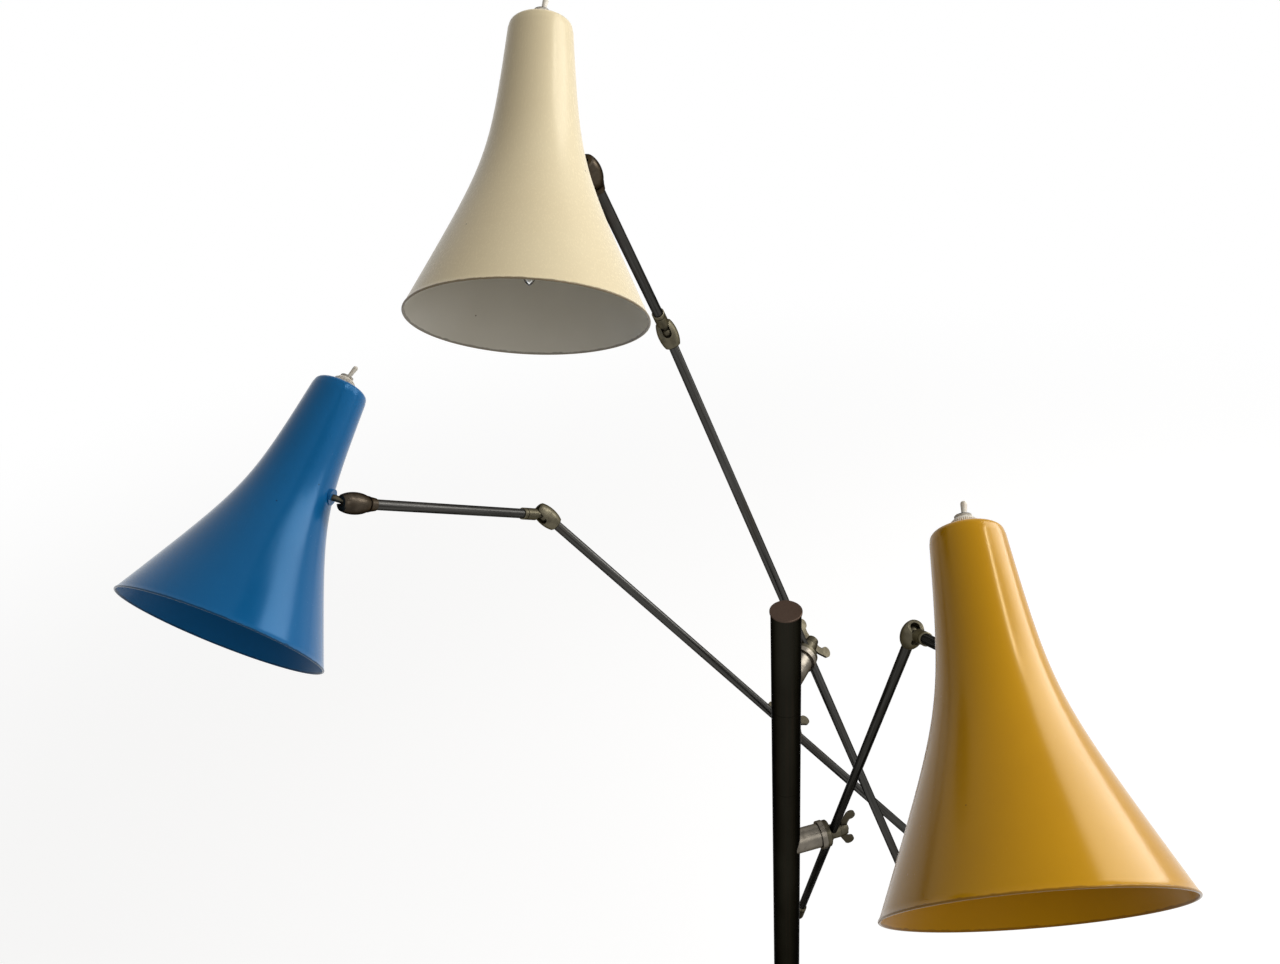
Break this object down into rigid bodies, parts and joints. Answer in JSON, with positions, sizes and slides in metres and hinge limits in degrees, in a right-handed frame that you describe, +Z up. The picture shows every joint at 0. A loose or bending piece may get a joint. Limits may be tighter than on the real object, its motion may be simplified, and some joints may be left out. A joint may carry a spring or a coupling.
{
  "type": "three-arm floor lamp",
  "caption": "Floor lamp with a round base and a tall pole; swivelling sleeves carry sliding arms with slotted ball joints and trumpet shades.",
  "frame": {"origin": "centre of the underside of the felt pad below the base, on the floor and on the pole axis", "axes": "+Z up along the pole; -Y towards the viewer of the picture, so +X is to the viewer's right"},
  "size_m": [0.8515, 0.7173, 1.6964],
  "materials": {
    "base_iron": "satin",
    "felt": "matte",
    "pole_bronze": "satin",
    "tube_steel": "satin",
    "cap_brown": "satin",
    "patinated_brass": "satin",
    "gunmetal": "satin",
    "washer_rubber": "matte",
    "black_plastic": "satin",
    "bulb_glass": "polished",
    "ivory_plastic": "gloss",
    "paint_cream": "gloss",
    "paint_blue": "gloss",
    "paint_yellow": "gloss"
  },
  "bodies": {
    "base": {"base_casting": "base_iron", "base_pad": "felt", "column": "pole_bronze", "core_tube": "tube_steel", "pole_cap": "cap_brown", "cable_gland": "patinated_brass"},
    "cream_turn": {"cream_sleeve": "pole_bronze", "cream_stub": "patinated_brass"},
    "cream_clamp": {"cream_clamp_eye": "patinated_brass"},
    "cream_nut": {"cream_wing_nut": "patinated_brass"},
    "cream_slider": {"cream_arm": "gunmetal", "cream_arm_tail": "patinated_brass"},
    "cream_elbow": {"cream_elbow_socket": "patinated_brass"},
    "cream_link": {"cream_elbow_ball": "patinated_brass"},
    "cream_fore": {"cream_forearm": "gunmetal", "cream_shade_socket": "patinated_brass"},
    "cream_stem": {"cream_shade_ball": "patinated_brass"},
    "cream_head": {"cream_shade_washers": "washer_rubber", "cream_shade": "paint_cream", "cream_lampholder": "black_plastic", "cream_bulb": "bulb_glass", "cream_switch": "black_plastic", "cream_switch_nut": "ivory_plastic"},
    "cream_lever": {"cream_toggle": "ivory_plastic"},
    "blue_turn": {"blue_sleeve": "pole_bronze", "blue_stub": "patinated_brass"},
    "blue_clamp": {"blue_clamp_eye": "patinated_brass"},
    "blue_nut": {"blue_wing_nut": "patinated_brass"},
    "blue_slider": {"blue_arm": "gunmetal", "blue_arm_tail": "patinated_brass"},
    "blue_elbow": {"blue_elbow_socket": "patinated_brass"},
    "blue_link": {"blue_elbow_ball": "patinated_brass"},
    "blue_fore": {"blue_forearm": "gunmetal", "blue_shade_socket": "patinated_brass"},
    "blue_stem": {"blue_shade_ball": "patinated_brass"},
    "blue_head": {"blue_shade_washers": "washer_rubber", "blue_shade": "paint_blue", "blue_lampholder": "black_plastic", "blue_bulb": "bulb_glass", "blue_switch": "black_plastic", "blue_switch_nut": "ivory_plastic"},
    "blue_lever": {"blue_toggle": "ivory_plastic"},
    "yellow_turn": {"yellow_sleeve": "pole_bronze", "yellow_stub": "patinated_brass"},
    "yellow_clamp": {"yellow_clamp_eye": "patinated_brass"},
    "yellow_nut": {"yellow_wing_nut": "patinated_brass"},
    "yellow_slider": {"yellow_arm": "gunmetal", "yellow_arm_tail": "patinated_brass"},
    "yellow_elbow": {"yellow_elbow_socket": "patinated_brass"},
    "yellow_link": {"yellow_elbow_ball": "patinated_brass"},
    "yellow_fore": {"yellow_forearm": "gunmetal", "yellow_shade_socket": "patinated_brass"},
    "yellow_stem": {"yellow_shade_ball": "patinated_brass"},
    "yellow_head": {"yellow_shade_washers": "washer_rubber", "yellow_shade": "paint_yellow", "yellow_lampholder": "black_plastic", "yellow_bulb": "bulb_glass", "yellow_switch": "black_plastic", "yellow_switch_nut": "ivory_plastic"},
    "yellow_lever": {"yellow_toggle": "ivory_plastic"}
  },
  "joints": [
    {"name": "cream_swivel", "type": "hinge", "parent": "base", "child": "cream_turn", "pos_m": [0, 0, 0.9986], "axis": [0, 0, 1], "range_deg": [-25, 10]},
    {"name": "cream_tilt", "type": "hinge", "parent": "cream_turn", "child": "cream_clamp", "pos_m": [0, 0, 0.9986], "axis": [-0.4848, -0.8746, 0], "range_deg": [-2.5, 15]},
    {"name": "cream_clamp_release", "type": "hinge", "parent": "cream_clamp", "child": "cream_nut", "pos_m": [0, 0, 0.9986], "axis": [0.4848, 0.8746, 0], "range_deg": [0, 270]},
    {"name": "cream_reach", "type": "slide", "parent": "cream_clamp", "child": "cream_slider", "axis": [0.3347, -0.1855, -0.9239], "range_m": [-0.32, 0.33]},
    {"name": "cream_elbow_turn", "type": "hinge", "parent": "cream_slider", "child": "cream_elbow", "pos_m": [-0.10375, 0.12383, 1.36261], "axis": [-0.3347, 0.1855, 0.9239], "range_deg": [-60, 90]},
    {"name": "cream_elbow_bend", "type": "hinge", "parent": "cream_elbow", "child": "cream_link", "pos_m": [-0.10375, 0.12383, 1.36261], "axis": [-0.941, -0.1178, -0.3173], "range_deg": [-48.5, 39.5]},
    {"name": "cream_forearm_turn", "type": "hinge", "parent": "cream_link", "child": "cream_fore", "pos_m": [-0.10375, 0.12383, 1.36261], "axis": [0.2265, 0.4774, -0.849], "range_deg": [-90, 90]},
    {"name": "cream_shade_bend", "type": "hinge", "parent": "cream_fore", "child": "cream_stem", "pos_m": [-0.15993, 0.00544, 1.57316], "axis": [0.3245, -0.8589, -0.3963], "range_deg": [-30, 58]},
    {"name": "cream_shade_turn", "type": "hinge", "parent": "cream_stem", "child": "cream_head", "pos_m": [-0.15993, 0.00544, 1.57316], "axis": [-0.6553, -0.5063, 0.5605], "range_deg": [-90, 90]},
    {"name": "cream_switch_toggle", "type": "hinge", "parent": "cream_head", "child": "cream_lever", "pos_m": [-0.18904, 0.05225, 1.68453], "axis": [-0.7511, 0.5151, -0.4129], "range_deg": [-26, 0]},
    {"name": "blue_swivel", "type": "hinge", "parent": "base", "child": "blue_turn", "pos_m": [0, 0, 0.8772], "axis": [0, 0, 1], "range_deg": [-10, 60]},
    {"name": "blue_tilt", "type": "hinge", "parent": "blue_turn", "child": "blue_clamp", "pos_m": [0, 0, 0.8772], "axis": [-0.1478, -0.989, 0], "range_deg": [-12.5, 60]},
    {"name": "blue_clamp_release", "type": "hinge", "parent": "blue_clamp", "child": "blue_nut", "pos_m": [0, 0, 0.8772], "axis": [0.1478, 0.989, 0], "range_deg": [0, 270]},
    {"name": "blue_reach", "type": "slide", "parent": "blue_clamp", "child": "blue_slider", "axis": [-0.6489, 0.097, 0.7547], "range_m": [-0.33, 0.33]},
    {"name": "blue_elbow_turn", "type": "hinge", "parent": "blue_slider", "child": "blue_elbow", "pos_m": [-0.24383, 0.09509, 1.17078], "axis": [-0.6489, 0.097, 0.7547], "range_deg": [-90, 45]},
    {"name": "blue_elbow_bend", "type": "hinge", "parent": "blue_elbow", "child": "blue_link", "pos_m": [-0.24383, 0.09509, 1.17078], "axis": [-0.7343, 0.1803, -0.6545], "range_deg": [-45, 43]},
    {"name": "blue_forearm_turn", "type": "hinge", "parent": "blue_link", "child": "blue_fore", "pos_m": [-0.24383, 0.09509, 1.17078], "axis": [0.6106, 0.5966, -0.5207], "range_deg": [-90, 90]},
    {"name": "blue_shade_bend", "type": "hinge", "parent": "blue_fore", "child": "blue_stem", "pos_m": [-0.39526, -0.05288, 1.29993], "axis": [0.3158, 0.4195, 0.851], "range_deg": [-26.5, 61.5]},
    {"name": "blue_shade_turn", "type": "hinge", "parent": "blue_stem", "child": "blue_head", "pos_m": [-0.39526, -0.05288, 1.29993], "axis": [0.9296, -0.3165, -0.189], "range_deg": [-90, 90]},
    {"name": "blue_switch_toggle", "type": "hinge", "parent": "blue_head", "child": "blue_lever", "pos_m": [-0.40849, 0.05063, 1.3674], "axis": [0.0163, 0.5475, -0.8367], "range_deg": [-26, 0]},
    {"name": "yellow_swivel", "type": "hinge", "parent": "base", "child": "yellow_turn", "pos_m": [0, 0, 0.7448], "axis": [0, 0, 1], "range_deg": [-60, 25]},
    {"name": "yellow_tilt", "type": "hinge", "parent": "yellow_turn", "child": "yellow_clamp", "pos_m": [0, 0, 0.7448], "axis": [0.9681, 0.2504, 0], "range_deg": [-17.5, 60]},
    {"name": "yellow_clamp_release", "type": "hinge", "parent": "yellow_clamp", "child": "yellow_nut", "pos_m": [0, 0, 0.7448], "axis": [0.9681, 0.2504, 0], "range_deg": [0, 270]},
    {"name": "yellow_reach", "type": "slide", "parent": "yellow_clamp", "child": "yellow_slider", "axis": [0.0856, -0.3311, 0.9397], "range_m": [-0.33, 0.25]},
    {"name": "yellow_elbow_turn", "type": "hinge", "parent": "yellow_slider", "child": "yellow_elbow", "pos_m": [0.09614, -0.14011, 1.18364], "axis": [0.0856, -0.3311, 0.9397], "range_deg": [-90, 90]},
    {"name": "yellow_elbow_bend", "type": "hinge", "parent": "yellow_elbow", "child": "yellow_link", "pos_m": [0.09614, -0.14011, 1.18364], "axis": [0.9874, 0.1539, -0.0358], "range_deg": [-39.5, 48.5]},
    {"name": "yellow_forearm_turn", "type": "hinge", "parent": "yellow_link", "child": "yellow_fore", "pos_m": [0.09614, -0.14011, 1.18364], "axis": [0.1505, -0.8477, 0.5087], "range_deg": [-90, 90]},
    {"name": "yellow_shade_bend", "type": "hinge", "parent": "yellow_fore", "child": "yellow_stem", "pos_m": [0.13348, -0.35033, 1.3098], "axis": [-0.3976, -0.5231, -0.7539], "range_deg": [-60, 28]},
    {"name": "yellow_shade_turn", "type": "hinge", "parent": "yellow_stem", "child": "yellow_head", "pos_m": [0.13348, -0.35033, 1.3098], "axis": [-0.7086, -0.3469, 0.6145], "range_deg": [-70, 90]},
    {"name": "yellow_switch_toggle", "type": "hinge", "parent": "yellow_head", "child": "yellow_lever", "pos_m": [0.09292, -0.2748, 1.39976], "axis": [-0.7056, 0.3529, -0.6144], "range_deg": [-26, 0]}
  ]
}
